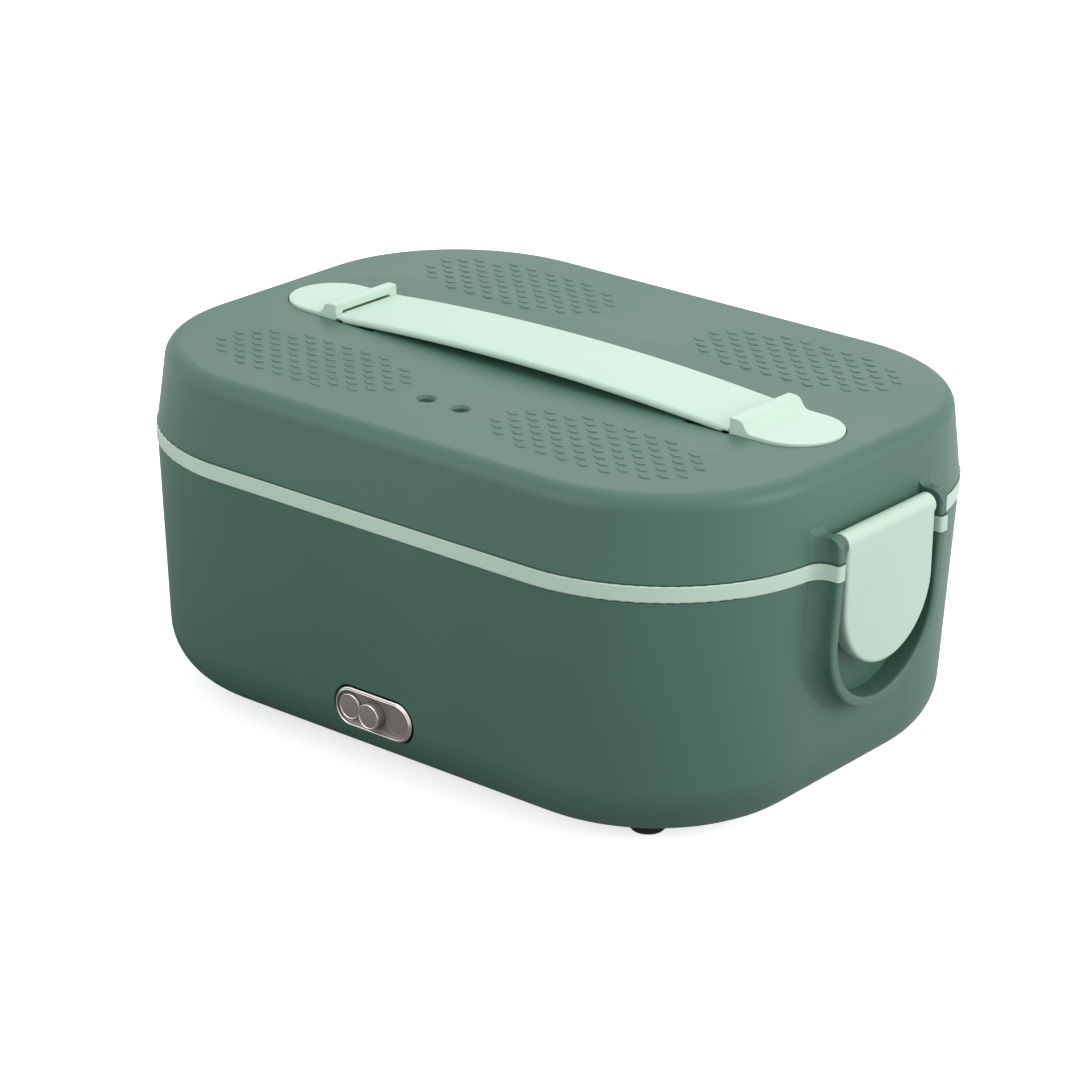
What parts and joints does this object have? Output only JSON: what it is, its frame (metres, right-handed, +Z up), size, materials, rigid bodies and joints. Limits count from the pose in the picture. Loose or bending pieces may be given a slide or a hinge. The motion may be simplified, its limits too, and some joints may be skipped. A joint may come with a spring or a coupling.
{
  "type": "electric lunch box",
  "caption": "Rounded electric lunch box: green base and lift-off lid, mint band, end latches, strap handle, control panel, steel food tray over a heating plate.",
  "frame": {"origin": "centre of the footprint, at the underside of the feet", "axes": "+X along the long side towards the right-hand latch, +Y to the back with the power inlet, +Z up; the control panel faces -Y"},
  "size_m": [0.2492, 0.17, 0.1136],
  "materials": {
    "shell_green": "fine matt, sage green",
    "mint_plastic": "fine matt, pale mint",
    "strap_soft": "soft matt, pale mint",
    "bottom_plastic": "fine matt, near black",
    "foot_rubber": "matt",
    "gasket_rubber": "matt",
    "silicone": "matt, translucent white",
    "tray_steel": "satin",
    "plate_aluminium": "satin",
    "heater_body": "plain",
    "spring_steel": "plain",
    "screw_steel": "plain",
    "pin_nickel": "polished",
    "bezel_chrome": "polished",
    "panel_grey": "satin, warm grey",
    "button_grey": "satin, warm grey",
    "lens_grey": "smoked, satin",
    "inlet_black": "fine matt",
    "cutout_phenolic": "dull brown",
    "board_green": "satin",
    "wire_insulation": "satin",
    "lid_clear": "milky, satin"
  },
  "bodies": {
    "base": {"base_shell": "shell_green", "bottom_cover": "bottom_plastic", "cover_screws": "screw_steel", "feet": "foot_rubber", "inner_liner": "mint_plastic", "heating_plate": "plate_aluminium", "ptc_heater": "heater_body", "heater_clamp": "spring_steel", "clamp_screws": "screw_steel", "thermal_cutout": "cutout_phenolic", "power_inlet": "inlet_black", "inlet_pins": "pin_nickel", "control_board": "board_green", "board_screws": "screw_steel", "wiring": "wire_insulation", "control_bezel": "bezel_chrome", "control_panel": "panel_grey", "indicator_lens": "lens_grey", "panel_gasket": "gasket_rubber"},
    "mode_button": {"mode_button": "button_grey"},
    "power_button": {"power_button": "button_grey"},
    "tray": {"food_tray": "tray_steel"},
    "tray_lid": {"tray_lid": "lid_clear", "tray_seal": "silicone", "tray_valve": "silicone"},
    "lid": {"lid_shell": "shell_green", "lid_liner": "mint_plastic", "lid_seal": "silicone", "lid_screws": "screw_steel", "vent_insert": "silicone", "handle_cap_left": "mint_plastic", "handle_cap_right": "mint_plastic", "cap_screws": "screw_steel", "hinge_pins": "spring_steel"},
    "strap_mid": {"strap_mid": "strap_soft"},
    "strap_arm_left": {"strap_arm_left": "strap_soft"},
    "strap_arm_right": {"strap_arm_right": "strap_soft"},
    "strap_end_left": {"strap_end_left": "strap_soft"},
    "strap_end_right": {"strap_end_right": "strap_soft"},
    "latch_left": {"latch_left": "mint_plastic"},
    "latch_right": {"latch_right": "mint_plastic"}
  },
  "joints": [
    {"name": "tray_lift", "type": "slide", "parent": "base", "child": "tray", "axis": [0, 0, 1], "range_m": [0, 0.06]},
    {"name": "tray_lid_lift", "type": "slide", "parent": "tray", "child": "tray_lid", "axis": [0, 0, 1], "range_m": [0, 0.08]},
    {"name": "lid_lift", "type": "slide", "parent": "tray_lid", "child": "lid", "axis": [0, 0, 1], "range_m": [0, 0.08]},
    {"name": "latch_right_swing", "type": "hinge", "parent": "lid", "child": "latch_right", "pos_m": [0.1204, 0, 0.0886], "axis": [0, -1, 0], "range_deg": [0, 110]},
    {"name": "latch_left_swing", "type": "hinge", "parent": "lid", "child": "latch_left", "pos_m": [-0.1204, 0, 0.0886], "axis": [0, 1, 0], "range_deg": [0, 110]},
    {"name": "handle_lift", "type": "slide", "parent": "lid", "child": "strap_mid", "axis": [0, 0, 1], "range_m": [0, 0.015]},
    {"name": "strap_arm_right_bend", "type": "hinge", "parent": "strap_mid", "child": "strap_arm_right", "pos_m": [0.02, 0, 0.11217], "axis": [0, 1, 0], "range_deg": [0, 16.5]},
    {"name": "strap_arm_left_bend", "type": "hinge", "parent": "strap_mid", "child": "strap_arm_left", "pos_m": [-0.02, 0, 0.11217], "axis": [0, -1, 0], "range_deg": [0, 16.5]},
    {"name": "strap_end_right_bend", "type": "hinge", "parent": "strap_arm_right", "child": "strap_end_right", "pos_m": [0.0736, 0, 0.1093], "axis": [0, -1, 0], "range_deg": [0, 16.5]},
    {"name": "strap_end_left_bend", "type": "hinge", "parent": "strap_arm_left", "child": "strap_end_left", "pos_m": [-0.0736, 0, 0.1093], "axis": [0, 1, 0], "range_deg": [0, 16.5]},
    {"name": "mode_button_press", "type": "slide", "parent": "base", "child": "mode_button", "axis": [0, 1, 0], "range_m": [0, 0.001], "stiffness_N_per_m": 600, "springref_m": -0.001},
    {"name": "power_button_press", "type": "slide", "parent": "base", "child": "power_button", "axis": [0, 1, 0], "range_m": [0, 0.001], "stiffness_N_per_m": 600, "springref_m": -0.001}
  ],
  "couplings": [
    {"joint": "strap_arm_right_bend", "follows": "handle_lift", "rad_per_m": 19.06},
    {"joint": "strap_arm_left_bend", "follows": "handle_lift", "rad_per_m": 19.06},
    {"joint": "strap_end_right_bend", "follows": "handle_lift", "rad_per_m": 19.06},
    {"joint": "strap_end_left_bend", "follows": "handle_lift", "rad_per_m": 19.06}
  ]
}
